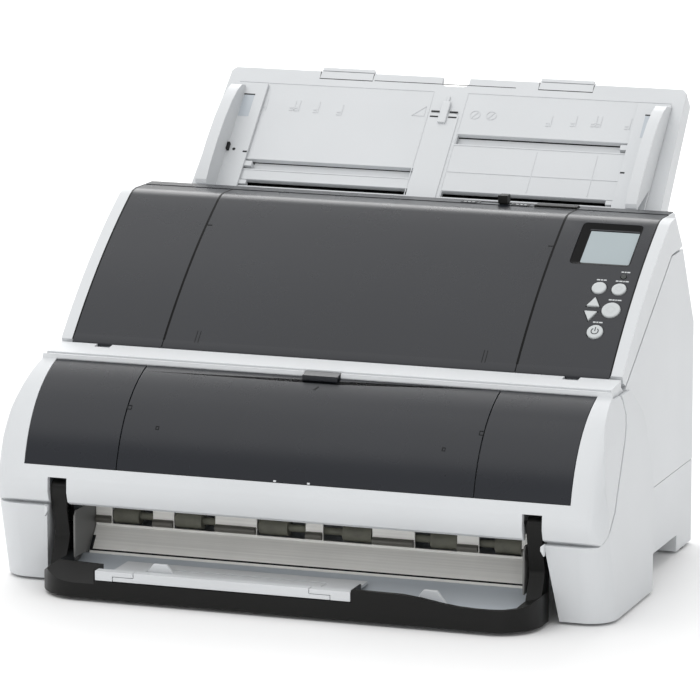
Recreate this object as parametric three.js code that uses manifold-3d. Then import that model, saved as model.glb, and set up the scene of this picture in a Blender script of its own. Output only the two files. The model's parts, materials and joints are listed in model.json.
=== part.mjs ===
// Sheet fed document scanner on a lower printing unit.
// Millimetres. X is the width, -Y the front, +Z up; the floor is Z = 0 and X = 0 is the middle plane.
import * as THREE from 'three';
import { mergeVertices } from 'three/addons/utils/BufferGeometryUtils.js';
import Module from 'manifold-3d';

const wasm = await Module();
wasm.setup();

// ---------- driving dimensions ----------
const GAP = 0.35;
const BODY_HALF = 189.7;
const BODY_REAR = 95;
const BODY_FLOOR = 57.3;
const LEG_IN = 171.2;
const LEG_TOP_IN = 165;
const LEG_OUT = 204;
const LEG_REAR = -46;
const LEG_CORNER = 18;
const SHELL_HALF = 203.6;
const BODY_FRONT = -95.5;
const GEAR_BAY = -160.6;
const SEAM_X = 119.5;
const PANEL_HALF = 181.4;
const PANEL_THICK = 2.6;

// feeder panel: foot, shoulder and bulge of its outer profile
const PANEL_FOOT = [-71, 144.3];
const PANEL_SHOULDER = [33, 222.5];
const PANEL_BULGE = 4.5;
const PANEL_CREST = [[38, 224.6], [44, 225.4], [60, 225]];

// front panel of the lower unit: top, bottom and bulge of its outer profile
const FRONT_TOP = [-99, 136.6];
const FRONT_FOOT = [-154.8, 79.6];
const FRONT_BULGE = 10.8;

// paper chute: a point on its face, the direction up the face and the face normal
const CHUTE_POINT = [155.3, 271];
const CHUTE_UP = [Math.cos(0.761), Math.sin(0.761)];
const CHUTE_TOP = 26.9;
const CHUTE_END = -114;

const EXIT_AXIS = [-108.6, 39.5];
const STACKER_PIVOT = [-150, 64];
const ARM_IN = 153.5;
const ARM_OUT = 163.5;
const ARM_RIBS = [22, 31, 40, 49, 58];
const RIB = 1.4;
const LIP = 3.6;
const SIDE_TRAY_IN = 50;
const GEAR_MODULE = 1.6;
const TOOTH_TIP = 0.7;
const TOOTH_ROOT = 1.15;
const TIP_HALF = 0.09;
const ROOT_HALF = 0.32;

// roller and gear stations: distance down the paper path and depth behind it
const PICK_T = -139.4;
const FEED_T = -165;
const IDLER_T = -205;
const EJECT_T = -245;
const ROLLER_N = -10.2;
const MOTOR_N = -42.2;
const PATH_N = -1.6;
const PINION_T = -40;
const PINION_TEETH = 16;

// ---------- materials ----------
const paint = (name, color, roughness, metalness = 0) =>
  Object.assign(new THREE.MeshStandardMaterial({ color, roughness, metalness }), { name });
const WHITE = paint('shell_white', 0xd6d9db, 0.55);
const DARK = paint('panel_charcoal', 0x3f4143, 0.42);
const BLACK = paint('stacker_black', 0x2c2d2e, 0.5);
const TRAY = paint('tray_grey', 0xa9b0b5, 0.5);
const RUBBER = paint('roller_rubber', 0x55564b, 0.85);
const FOOT = paint('foot_rubber', 0x26272a, 0.9);
const STEEL = paint('plate_steel', 0xa9a8a0, 0.35, 0.9);
const BUTTON = paint('button_grey', 0xcdd0d2, 0.3);
const GLASS = paint('scan_glass', 0x9fb6b8, 0.1);
const LENS = paint('status_lens', 0x9bb7a0, 0.2);
const NYLON = paint('gear_nylon', 0xe3e0d2, 0.5);
const MOTOR = paint('motor_steel', 0x8b8e92, 0.4, 0.8);
const BOARD = paint('board_green', 0x1f5b3c, 0.5);
const BLOCK = paint('inner_black', 0x202224, 0.6);

// ---------- geometry helpers ----------
const shapeOf = (pts) => new THREE.Shape(pts.map(([a, b]) => new THREE.Vector2(a, b)));
const extruded = (pts, depth) => new THREE.ExtrudeGeometry(shapeOf(pts), { depth, bevelEnabled: false });
const basis = (x, y, z, o) => new THREE.Matrix4()
  .makeBasis(new THREE.Vector3(...x), new THREE.Vector3(...y), new THREE.Vector3(...z))
  .setPosition(...o);

/** A (y, z) outline extruded along X from x0 to x1. */
const slab = (pts, x0, x1) => extruded(pts, x1 - x0).applyMatrix4(basis([0, 1, 0], [0, 0, 1], [1, 0, 0], [x0, 0, 0]));
/** An (x, z) outline extruded along Y from y0 to y1. */
const wall = (pts, y0, y1) => extruded(pts, y1 - y0).applyMatrix4(basis([1, 0, 0], [0, 0, 1], [0, -1, 0], [0, y1, 0]));
/** An (x, y) outline extruded along Z from z0 to z1. */
const plan = (pts, z0, z1) => extruded(pts, z1 - z0).translate(0, 0, z0);
const box = (x0, x1, y0, y1, z0, z1) =>
  new THREE.BoxGeometry(x1 - x0, y1 - y0, z1 - z0).translate((x0 + x1) / 2, (y0 + y1) / 2, (z0 + z1) / 2);
const rod = (r, x0, x1, [y, z], sides = 24) =>
  new THREE.CylinderGeometry(r, r, x1 - x0, sides).rotateZ(-Math.PI / 2).translate((x0 + x1) / 2, y, z);

function toManifold(geometry) {
  const g = geometry.clone();
  g.deleteAttribute('normal');
  g.deleteAttribute('uv');
  const m = mergeVertices(g, 1e-4);
  return new wasm.Manifold(new wasm.Mesh({
    numProp: 3,
    vertProperties: new Float32Array(m.attributes.position.array),
    triVerts: new Uint32Array(m.index.array),
  }));
}
function fromManifold(manifold) {
  const mesh = manifold.getMesh();
  const g = new THREE.BufferGeometry();
  g.setAttribute('position', new THREE.BufferAttribute(new Float32Array(mesh.vertProperties), 3));
  g.setIndex(new THREE.BufferAttribute(new Uint32Array(mesh.triVerts), 1));
  return g;
}
const combine = (method) => (first, ...rest) =>
  fromManifold(rest.flat().reduce((sum, g) => sum[method](toManifold(g)), toManifold(first)));
const join = combine('add');
const cut = combine('subtract');
const common = combine('intersect');
const mirrored = (geometry) => {
  const g = geometry.clone().scale(-1, 1, 1);
  const index = g.index ? g.index.array : Uint32Array.from({ length: g.attributes.position.count }, (_, i) => i);
  const flipped = Uint32Array.from(index);
  for (let i = 0; i < flipped.length; i += 3) [flipped[i], flipped[i + 1]] = [flipped[i + 1], flipped[i]];
  g.setIndex(new THREE.BufferAttribute(flipped, 1));
  return g;
};

/** Points of a shallow arc from a to b, bulging to the left of a->b by h. */
function bulged(a, b, h, steps) {
  const [dx, dy] = [b[0] - a[0], b[1] - a[1]];
  const length = Math.hypot(dx, dy);
  return Array.from({ length: steps + 1 }, (_, i) => {
    const t = i / steps;
    const k = 4 * h * t * (1 - t) / length;
    return [a[0] + dx * t - dy * k, a[1] + dy * t + dx * k];
  });
}
/** Polyline shifted to its right by d. */
function shifted(points, d) {
  return points.map((p, i) => {
    const a = points[Math.max(i - 1, 0)];
    const b = points[Math.min(i + 1, points.length - 1)];
    const length = Math.hypot(b[0] - a[0], b[1] - a[1]);
    return [p[0] + (b[1] - a[1]) / length * d, p[1] - (b[0] - a[0]) / length * d];
  });
}
/** Polyline whose two end points are pushed outward by d. */
function lengthened(points, d) {
  const push = ([ax, ay], [bx, by]) => {
    const k = d / Math.hypot(ax - bx, ay - by);
    return [ax + (ax - bx) * k, ay + (ay - by) * k];
  };
  return [push(points[0], points[1]), ...points.slice(1, -1), push(points.at(-1), points.at(-2))];
}
const arc = (cx, cy, r, from, to, steps) => Array.from({ length: steps + 1 }, (_, i) => {
  const a = from + (to - from) * i / steps;
  return [cx + r * Math.cos(a), cy + r * Math.sin(a)];
});
const roundRect = (x0, x1, y0, y1, r, steps = 4) => [
  ...arc(x1 - r, y1 - r, r, 0, Math.PI / 2, steps),
  ...arc(x0 + r, y1 - r, r, Math.PI / 2, Math.PI, steps),
  ...arc(x0 + r, y0 + r, r, Math.PI, 1.5 * Math.PI, steps),
  ...arc(x1 - r, y0 + r, r, 1.5 * Math.PI, 2 * Math.PI, steps),
];

// ---------- shared profiles ----------
const feederTop = [...bulged(PANEL_FOOT, PANEL_SHOULDER, PANEL_BULGE, 10), ...PANEL_CREST];
const frontFace = bulged(FRONT_FOOT, FRONT_TOP, FRONT_BULGE, 12);

/** Point of the chute's plane at t up the face and n above it, as (y, z). */
const chuteAt = (t, n) => [
  CHUTE_POINT[0] + CHUTE_UP[0] * t - CHUTE_UP[1] * n,
  CHUTE_POINT[1] + CHUTE_UP[1] * t + CHUTE_UP[0] * n,
];
const onChute = basis([1, 0, 0], [0, ...CHUTE_UP], [0, -CHUTE_UP[1], CHUTE_UP[0]], [0, ...CHUTE_POINT]);

/** Matrix whose X, Y, Z are right, up the feeder panel and out of it, s mm from its foot. */
function onPanel(x, s) {
  const [dy, dz] = [PANEL_SHOULDER[0] - PANEL_FOOT[0], PANEL_SHOULDER[1] - PANEL_FOOT[1]];
  const length = Math.hypot(dy, dz);
  const t = s / length;
  const k = 4 * PANEL_BULGE * t * (1 - t) / length;
  const slope = 4 * PANEL_BULGE * (1 - 2 * t) / length;
  const up = new THREE.Vector2(dy / length - dz / length * slope, dz / length + dy / length * slope).normalize();
  const at = [x, PANEL_FOOT[0] + dy * t - dz * k, PANEL_FOOT[1] + dz * t + dy * k];
  return basis([1, 0, 0], [0, up.x, up.y], [0, -up.y, up.x], at);
}

/** Spur gear outline of n teeth at pitch radius r, phase in tooth pitches. */
function gearOutline(r, n, phase = 0) {
  const pts = [];
  const step = 2 * Math.PI / n;
  for (let i = 0; i < n; i += 1) {
    const a = (i + phase) * step;
    const tip = r + TOOTH_TIP * GEAR_MODULE;
    const root = r - TOOTH_ROOT * GEAR_MODULE;
    pts.push([root, a - ROOT_HALF * step], [tip, a - TIP_HALF * step], [tip, a + TIP_HALF * step],
      [root, a + ROOT_HALF * step]);
  }
  return pts.map(([q, a]) => [q * Math.cos(a), q * Math.sin(a)]);
}
/** Solid through matching (y, z) outlines at growing |x|, closed and mirrored about x = 0. */
function loft(sections) {
  const rings = [...sections].reverse().map(([pts, x]) => pts.map(([y, z]) => [-x, y, z]))
    .concat(sections.map(([pts, x]) => pts.map(([y, z]) => [x, y, z])));
  const count = sections[0][0].length;
  const flat = THREE.ShapeUtils.triangulateShape(sections[0][0].map(([a, b]) => new THREE.Vector2(a, b)), []);
  const ccw = THREE.ShapeUtils.area(sections[0][0].map(([a, b]) => new THREE.Vector2(a, b))) > 0;
  const index = [];
  const face = (a, b, c) => index.push(...(ccw ? [a, b, c] : [a, c, b]));
  for (const [a, b, c] of flat) {
    face(a, c, b);
    const end = (rings.length - 1) * count;
    face(end + a, end + b, end + c);
  }
  for (let r = 0; r + 1 < rings.length; r += 1) {
    for (let i = 0; i < count; i += 1) {
      const [a, b] = [r * count + i, r * count + (i + 1) % count];
      face(a, b, b + count);
      face(a, b + count, a + count);
    }
  }
  const g = new THREE.BufferGeometry();
  g.setAttribute('position', new THREE.Float32BufferAttribute(rings.flat(2), 3));
  g.setIndex(index);
  return g;
}
const gear = (n, x0, x1, [y, z], phase) =>
  slab(gearOutline(n * GEAR_MODULE / 2, n, phase).map(([a, b]) => [a + y, b + z]), x0, x1);

// ---------- lower unit ----------
function baseChassis() {
  const rear = box(-BODY_HALF, BODY_HALF, LEG_REAR + GAP, BODY_REAR, 13, BODY_FLOOR - GAP);
  const front = box(-LEG_IN + GAP, LEG_IN - GAP, -98, LEG_REAR + 10, 13, 22);
  const feet = [-1, 1].map((side) => box(182.2 * side - 7.5, 182.2 * side + 7.5, 59.5, BODY_REAR, 1.8, 20));
  const well = box(-182, 182, LEG_REAR + 8, 88, 18, 80);
  const inlet = box(-151, -119, 80, 110, 24, 46);
  const port = box(119, 139, 80, 110, 26, 44);
  return cut(join(rear, front, feet), well, inlet, port);
}
function sideHousing() {
  const lean = new THREE.Matrix4().makeShear(0, 0, 0, 0, 0, -15.5 / 55);
  const outline = [
    [LEG_IN, 40],
    [LEG_IN, -128],
    [LEG_TOP_IN, -128],
    [LEG_TOP_IN, -142],
    ...arc(LEG_OUT - LEG_CORNER, -142 + LEG_CORNER, LEG_CORNER, -Math.PI / 2, 0, 6),
    [LEG_OUT, 40],
  ];
  const leg = plan(outline, 0, 150).applyMatrix4(lean);
  const side = slab([
    [LEG_REAR, 1.8], [-170, 1.8], [-170, 53], [-151, 53.4], [-144.4, 60], [-137, 67],
    [-84.2, 116.4], [-80, 122], [-79.8, 134.5], [-62, 134.5], [LEG_REAR, 118],
  ], 160, 210);
  const section = wall([
    [LEG_IN, 1.8], [LEG_OUT, 1.8], [LEG_OUT, 72], [198.4, 110], [192, 136],
    [BODY_HALF + GAP, 136], [BODY_HALF + GAP, 56.6], [LEG_TOP_IN, 56.6],
  ], -180, 0);
  return common(leg, side, section);
}
const footPad = (x, y) => plan(roundRect(x - 6, x + 6, y - 6, y + 6, 3, 2), 0, 1.45);
function exitPlate() {
  const outline = [
    [-126.6, 16.6], [-126.6, 18.6], [-114.4, 32.6], [-114.4, 49], [-112.8, 49], [-112.8, 32], [-124.6, 16.6],
  ];
  const windows = [[5.9, 38.9], [67.2, 95.3], [109.8, 137.8]]
    .flatMap(([a, b]) => [[a, b], [-b, -a]])
    .map(([a, b]) => box(a, b, -120, -108, 34.2, 46));
  return cut(slab(outline, -149, 149), windows);
}
function exitRoller() {
  const rollers = [[18.5, 38], [77, 95], [119.8, 137.3]]
    .flatMap(([a, b]) => [[a, b], [-b, -a]])
    .map(([a, b]) => rod(5.6, a, b, EXIT_AXIS));
  return join(rod(2.5, -160, 166, EXIT_AXIS, 12), rollers, gear(14, 159, 165, EXIT_AXIS, 0));
}
const exitPinionAxis = [EXIT_AXIS[0] + 12 * GEAR_MODULE, EXIT_AXIS[1]];
const exitPinion = () => join(gear(10, 159, 165, exitPinionAxis, 0.5), rod(2, 152, 162, exitPinionAxis, 12));
const exitMotor = () => cut(rod(12, 118, 156, exitPinionAxis), rod(2.4, 148, 160, exitPinionAxis, 12));

const shellFront = [...frontFace].reverse();
const shellRear = [[-145.2, 60.6], [-137.6, 67.8], [-84.8, 117], [-80.8, 122.4], [-80.6, 131]];
const shellLip = [[-158.2, 71], [-158.6, 63], [-156.4, 56.4], [-152, 54.2]];
function imprinterShell() {
  const blankOutline = [[-40, 138.3], [-98.2, 139.6], ...shellFront, ...shellLip, [-40, 54.2]];
  const inset = (d) => blankOutline.map(([y, z]) => [y + d, z - 0.35 * d]);
  const rounds = [[0, 10.5], [1.6, 6.2], [4.6, 3.2], [9, 1.2], [13, 0]];
  const blank = loft(rounds.map(([d, back]) => [inset(d), SHELL_HALF - back]));
  const outer = slab([[-86, 138.3], [-98.2, 142], [-170, 142], [-170, 54.2], [-151.6, 54.2], ...shellRear], -210, 210);
  const taper = wall([
    [-SHELL_HALF, 40], [SHELL_HALF, 40], [SHELL_HALF, 72], [198, 110], [191.6, 136], [191, 145],
    [-191, 145], [-191.6, 136], [-198, 110], [-SHELL_HALF, 72],
  ], -200, 0);
  const core = slab([
    [-70, 150], [BODY_FRONT - GAP, 150], [BODY_FRONT - GAP, 131], ...shifted(frontFace, 6).reverse(),
    [-153, 76], [-154, 66], [-151, 60], [-150, 40], [-70, 40],
  ], -BODY_HALF - GAP, BODY_HALF + GAP);
  const seat = lengthened(frontFace, GAP);
  const recess = slab([...shifted(seat, -8), ...shifted(seat, PANEL_THICK + GAP).reverse()],
    -PANEL_HALF - GAP, PANEL_HALF + GAP);
  const notches = [-1, 1].map((side) => box(158 * side - 6.4, 158 * side + 6.4, -170, -140, 40, 72.2));
  const latchSeat = box(-12.2, 12.2, -106, -90, 132, 150);
  const doorway = slab([...shifted(frontFace, -3), ...shifted(frontFace, 12).reverse()], -110, 110);
  const access = common(doorway, box(-110, 110, -150, -106, 90, 131));
  const topEnds = [-1, 1].map((side) => box(195 * side - 7, 195 * side + 7, -97.6, -40, 134.8, 150));
  return cut(common(blank, outer, taper), core, recess, notches, latchSeat, access, topEnds);
}
const frontPanel = (x0, x1) => slab([...frontFace, ...shifted(frontFace, PANEL_THICK).reverse()], x0, x1);
const imprinterDoor = () => cut(frontPanel(-SEAM_X + 0.9, SEAM_X - 0.9), box(-12.2, 12.2, -106, -90, 132, 150));
const imprinterLatch = () => slab([[-103.4, 134], [-96, 134], [-96, 139.8], [-104, 138.4]], -11.8, 11.8);
const printCarriage = () => cut(box(20, 62, -132, -100.6, 74, 100), box(10, 72, -121.6, -112.4, 82.4, 91.6));
const carriageRail = () => rod(4, -189, 189, [-117, 87], 16);

// ---------- stacker ----------
/** Inside of the bar's thin lip, from the middle round to the right arm, moved inwards by gap. */
const sideTrayEdge = (gap) => [
  [SIDE_TRAY_IN + gap, -185 + LIP + gap],
  ...arc(137.5, -157, 28 - LIP - gap, 1.5 * Math.PI, 1.732 * Math.PI, 5),
  [ARM_IN - gap, -172],
];
function stackerFrame() {
  const bar = common(
    wall([
      [-165.5, 2.5], [165.5, 2.5], [165.5, 22], [161, 18.6], [155, 17], [147, 16.4], [130, 16.3], [119, 16.8],
      [108, 18.1], [95, 20.3], [82, 21.7], [49, 22], [49, 14], [-122.5, 14], [-122.5, 21.2], [-165.5, 22.4],
    ], -186, -140),
    plan([
      [-165.5, -146], ...arc(-137.5, -157, 28, Math.PI, 1.5 * Math.PI, 8),
      ...arc(137.5, -157, 28, 1.5 * Math.PI, 2 * Math.PI, 8), [165.5, -146],
      [ARM_IN, -146], ...sideTrayEdge(0).reverse(), [SIDE_TRAY_IN, -168], [-ARM_IN, -168], [-ARM_IN, -146],
    ], 0, 40),
  );
  const frontSlope = slab([[-190, 8.8], [-165, 24.2], [-165, 40], [-190, 40]], -170, -122.8);
  const sideSlope = wall([[-170, 9], [-148, 25.5], [-148, 40], [-170, 40]], -190, -140);
  const slopedBar = cut(bar, frontSlope, sideSlope);
  const arm = slab([
    [-160, 8], [-144, 5], [-140.5, 16], [-138.6, 31], [-140.4, 45], [-144.4, 60],
    ...arc(...STACKER_PIVOT, 5.6, -0.2, Math.PI, 8), [-153.4, 52], [-148.6, 35], [-149.4, 30], [-156, 18],
  ], ARM_IN, ARM_OUT);
  const pockets = ARM_RIBS.slice(1).map((top, i) => common(
    slab([[-150, 10], [-145.6, 10], [-142.6, 17], [-140.8, 31], [-142.6, 45], [-147, 60],
      [-149.6, 60], [-150.6, 50], [-146.6, 35], [-147.2, 30], [-152.4, 19]], ARM_IN - 1, ARM_OUT - 3),
    box(ARM_IN - 1, ARM_OUT - 3, -160, -130, ARM_RIBS[i] + RIB, top),
  ));
  const openArm = cut(arm, pockets);
  return join(slopedBar, openArm, mirrored(openArm));
}
const stackerTray = () => slab([
  [-127.2, 17.2], [-132, 14.2], [-145, 12.4], [-158, 12], [-167.4, 12.4],
  [-167.4, 10.4], [-158, 10], [-145, 10.4], [-131, 12.2], [-127.2, 15],
], -ARM_IN + GAP, ARM_IN - GAP);
const stackerSideTray = () =>
  plan([...sideTrayEdge(GAP), [ARM_IN - GAP, -168], [SIDE_TRAY_IN + GAP, -168]], 10.4, 12.4);
function stackerExtension() {
  const lip = box(-122, 48.5, -184.6, -178, 14.4, 20.6);
  const leaf = box(-118, 44, -184, -138, 14.4, 16.4);
  return cut(join(lip, leaf), box(-110.4, 35.4, -190, -177.6, 10, 17.6), box(-96.4, 21.4, -190, -150, 10, 30));
}
const stackerExtensionInner = () => join(
  box(-110, 35, -184.6, -178, 14.4, 17.3),
  box(-96, 21, -184.6, -178, 14.4, 20.8),
  box(-96, 21, -184, -152, 14.4, 16.4),
);
const stopper = (x, y, z) =>
  wall([[x - 11, z], [x + 11, z], [x + 4.5, z + 8.5], [x - 4.5, z + 8.5]], y, y + 2.8);

// ---------- feeder (opens forward) ----------
const feederSeam = [[64, 203.8], [40, 202.8], [-63.8, 137], [-68.5, 139.6]];
const buttons = {
  menu_button: [158.4, 69.3, 4.9],
  stop_button: [171.6, 69.1, 4.9],
  scan_button: [170.6, 51.2, 6.2],
  power_button: [164.3, 32.9, 5.4],
};
const arrows = { up_button: [158.2, 56, 1], down_button: [157.8, 46.6, -1] };
const disc = (r) => arc(0, 0, r, 0, 2 * Math.PI * 19 / 20, 19);
const arrowShape = (way, grow) => [
  [0, way * (5.2 + 1.9 * grow)], [-4.4 - 1.7 * grow, -way * (2.6 + grow)], [4.4 + 1.7 * grow, -way * (2.6 + grow)],
];
function buttonSolids(grow, z0, z1) {
  const solids = {};
  for (const [name, [x, s, r]] of Object.entries(buttons)) {
    solids[name] = plan(disc(r + grow), z0, z1).applyMatrix4(onPanel(x, s));
  }
  for (const [name, [x, s, way]] of Object.entries(arrows)) {
    solids[name] = plan(arrowShape(way, grow), z0, z1).applyMatrix4(onPanel(x, s));
  }
  return solids;
}
function feederFrame() {
  const deck = [[70, 224.8], [73, 222]];
  const rim = slab([...feederTop, ...deck, [66.6, 206], ...feederSeam], -BODY_HALF, BODY_HALF);
  const inner = slab([
    ...shifted(feederTop, 1), ...deck, [62, 188.5], chuteAt(-134, 0.6), chuteAt(-246, 0.6), [-66, 138.2],
  ], GEAR_BAY + 0.6, 178);
  const seat = lengthened(feederTop, GAP);
  const recess = slab([...shifted(seat, -8), ...shifted(seat, PANEL_THICK + GAP).reverse()],
    -PANEL_HALF - GAP, PANEL_HALF + GAP);
  const hollow = slab([
    ...shifted(feederTop, 9).slice(2, 11), [50, 213], [63, 213], [56, 191],
    chuteAt(-138, -3), chuteAt(-241, -3), [-46, 133],
  ], GEAR_BAY + 6.6, 172);
  const keyWell = box(-31, 17.5, -33, 37, -9, -1).applyMatrix4(onPanel(162.6, 54));
  const leverSlot = box(52, 73, 62, 68, 214, 230);
  const tabSeat = box(89.6, 119.4, 60.4, 80, 215.6, 230);
  const endSlope = slab([[48, 227], [66.4, 203.2], [80, 203.2], [80, 230], [48, 230]], PANEL_HALF + 1.4, 200);
  return cut(join(rim, inner), recess, hollow, keyWell, leverSlot, tabSeat, endSlope, mirrored(endSlope));
}
const feederPanel = (x0, x1) => slab([...feederTop, ...shifted(feederTop, PANEL_THICK).reverse()], x0, x1);
function operatorPanel() {
  const bezel = plan(roundRect(-20.2, 20.2, -20, 20, 3, 3), -1.5, 6).applyMatrix4(onPanel(153.2, 109.6));
  const pane = plan(roundRect(-17.6, 17.6, -16, 16, 1, 1), -6, 6).applyMatrix4(onPanel(155.6, 107.6));
  const lens = plan(disc(2.2), -6, 6).applyMatrix4(onPanel(171.9, 80.4));
  return cut(feederPanel(SEAM_X + 0.3, PANEL_HALF), bezel, pane, lens, Object.values(buttonSolids(0.45, -8, 8)));
}
const displayWindow = () =>
  plan(roundRect(-17.2, 17.2, -15.6, 15.6, 0.8, 1), -2.5, -1.8).applyMatrix4(onPanel(155.6, 107.6));
const statusLens = () => plan(disc(1.9), -2.4, 0.3).applyMatrix4(onPanel(171.9, 80.4));
const feedLever = () => join(box(66, 71, 62.4, 67.6, 215, 227), box(65.2, 71.8, 61.2, 68.8, 225.8, 231.4));
const releaseTab = () => slab([[60.9, 218], [69.4, 218], [71.2, 224], [69, 226.6], [60.9, 226.6]], 90, 119);
const acrossPath = (x0, x1, t0, t1, n0, n1) => box(x0, x1, t0, t1, n0, n1).applyMatrix4(onChute);
const upperScanUnit = () => cut(
  acrossPath(GEAR_BAY + 7, 171.6, -226, -190, 1, 24),
  acrossPath(-112, 112, -214, -202, -1, 5),
);
const brakeRoller = () => join(
  rod(2.5, GEAR_BAY + 7, 171.6, chuteAt(FEED_T, 8.8), 12),
  [-26, 26].map((x) => rod(7.4, x - 9, x + 9, chuteAt(FEED_T, 8.8))),
);

// ---------- scanner body ----------
function scannerBody() {
  const outline = slab([
    [BODY_FRONT, BODY_FLOOR], [BODY_REAR, BODY_FLOOR], [BODY_REAR, 149], [66.8, 202], [41, 201.6],
    [-63.2, 135.4], [-67, 133.6], [-73.6, 138], [-73.9, 142.8], [BODY_FRONT, 140.6],
  ], -BODY_HALF, BODY_HALF);
  const cradle = slab([[80, 176], [84, 181.2], [118, 213.6], [111, 197], [95.2, 160], [92, 150]], -150, 150);
  const throat = slab([
    [-73.9, 260], [-73.9, 138.4], [-68, 134], [-30.6, 97], chuteAt(-252, 2.4), chuteAt(-314, 2.4),
    chuteAt(-314, PATH_N), chuteAt(-90, PATH_N), [90, 260],
  ], GEAR_BAY, 178.6);
  const rearHollow = slab([
    chuteAt(-300, PATH_N - 5), chuteAt(-128, PATH_N - 5), [71, 174.5], [89.5, 146.5], [89.5, 50], [-60, 50],
  ], -172, 172);
  const gearBay = slab([
    [-50, 50], [89.5, 50], [89.5, 146.5], [72, 180], [44, 190], [-44, 134], [-50, 126],
  ], -185, GEAR_BAY - 4.4);
  const frontHollow = slab([
    [-91, 50], [-91, 136], [-79, 137], [-76, 134], [-40, 98], chuteAt(-262, 7), chuteAt(-304, 7), [-76, 50],
  ], -172, 172);
  const windows = [[PICK_T, 42], [FEED_T, 42], [EJECT_T, 90]].flatMap(([t, x]) => [
    acrossPath(-x, -x + 30, t - 8.5, t + 8.5, -9, 0), acrossPath(x - 30, x, t - 8.5, t + 8.5, -9, 0),
  ]);
  const glassWindow = acrossPath(-116, 116, -216, -200, -9, 0);
  const slots = [-1, 1].map((side) => box(158 * side - 5.2, 158 * side + 5.2, -80, -72, 136.4, 150));
  const rearDoor = box(-176, 176, 86, 100, 64, 143);
  return cut(join(outline, cradle), throat, rearHollow, gearBay, frontHollow, windows, glassWindow, slots, rearDoor);
}
const rearCover = () => cut(
  box(-175.6, 175.6, 91.6, 94.6, 64.4, 142.6),
  Array.from({ length: 8 }, (_, i) => box(60 + i * 10, 64 + i * 10, 88, 98, 90, 120)),
);
const roller = (t, x, teeth, phase) => join(
  rod(3, -176, 170, chuteAt(t, ROLLER_N), 12),
  [-1, 1].map((side) => rod(9, side * (x - 15) - 13, side * (x - 15) + 13, chuteAt(t, ROLLER_N))),
  gear(teeth, -176, -170, chuteAt(t, ROLLER_N), phase),
);
const UP = 0.761;
const turns = (angle, teeth) => angle * teeth / (2 * Math.PI);
const pickRoller = () => roller(PICK_T, 42, 12, turns(UP + Math.PI, 12) + 0.5);
const feedRoller = () => roller(FEED_T, 42, 20, turns(UP, 20));
const ejectRoller = () => roller(EJECT_T, 90, 20, turns(UP, 20));
const idlerGear = () => cut(
  join(gear(30, -176, -170, chuteAt(IDLER_T, ROLLER_N), turns(UP, 30) + 0.5),
    rod(7, -180, -166, chuteAt(IDLER_T, ROLLER_N))),
  rod(3, -190, -160, chuteAt(IDLER_T, ROLLER_N), 12),
);
const motorGear = () => join(
  gear(10, -176, -170, chuteAt(IDLER_T, MOTOR_N), turns(UP + Math.PI / 2, 10) + 0.5),
  rod(2.5, -172, -160, chuteAt(IDLER_T, MOTOR_N), 12),
);
const driveMotor = () => cut(
  join(rod(16, -165, -122, chuteAt(IDLER_T, MOTOR_N)), rod(5, -122, -112, chuteAt(IDLER_T, MOTOR_N), 16)),
  rod(3, -170, -158, chuteAt(IDLER_T, MOTOR_N), 12),
);
const lowerScanUnit = () => join(
  acrossPath(-150, 150, -226, -190, -24.4, -7.2), acrossPath(-115, 115, -215, -201, -8, -2.2),
);
const mainBoard = () => join(
  box(-70, 90, 10, 80, 18.4, 20.2), box(-30, 0, 30, 58, 20, 23), box(30, 64, 24, 44, 20, 24), box(60, 84, 56, 74, 20, 30),
);
const powerInlet = () => cut(box(-150.6, -119.4, 82, BODY_REAR, 24.4, 45.6), box(-146, -124, 88, 110, 28, 42));
const dataPort = () => cut(box(119.4, 138.6, 82, BODY_REAR, 26.4, 43.6), box(123, 135, 88, 110, 30, 40));

// ---------- chute, in its own plane: x, t up the face, n out of it ----------
const slotSpans = [[-1, -73.2, -68.3], [-1, -59, -51.2], [1, -73.2, -68.3], [1, -28.8, -20.8]];
function chutePanel() {
  const plate = plan([
    [-166, CHUTE_END], [166, CHUTE_END], [161.4, CHUTE_TOP - 3], [158.4, CHUTE_TOP],
    [-158.4, CHUTE_TOP], [-161.4, CHUTE_TOP - 3],
  ], -3.5, 0);
  const rim = plan([[162, CHUTE_END], [166, CHUTE_END], [161.4, CHUTE_TOP - 3], [157.8, CHUTE_TOP - 3]], -14.8, -1);
  const ridge = plan(roundRect(-12, 9, CHUTE_END, -4, 3, 2), -1, 0.9);
  const slots = slotSpans.map(([side, t0, t1]) => box(72.5 * side - 60.5, 72.5 * side + 60.5, t0, t1, -6, 3));
  const notch = plan(roundRect(-9.4, 9.4, 19.5, 40, 3, 2), -6, 3);
  return cut(join(plate, rim, mirrored(rim), ridge), slots, notch).applyMatrix4(onChute);
}
const chuteBack = () => plan([
  [-161, CHUTE_END], [161, CHUTE_END], [156.8, CHUTE_TOP - 4], [-156.8, CHUTE_TOP - 4],
], -14.6, -12.4).applyMatrix4(onChute);
function chuteExtension() {
  const leaf = box(-96.5, 96.5, -80, 30, -11.6, -8.6);
  const tabs = [-1, 1].map((side) => box(77.7 * side - 18.6, 77.7 * side + 18.6, 27.4, 30, -11.6, 0));
  return cut(join(leaf, tabs), plan(roundRect(-14, 14, 15, 60, 4, 2), -20, 5)).applyMatrix4(onChute);
}
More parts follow.
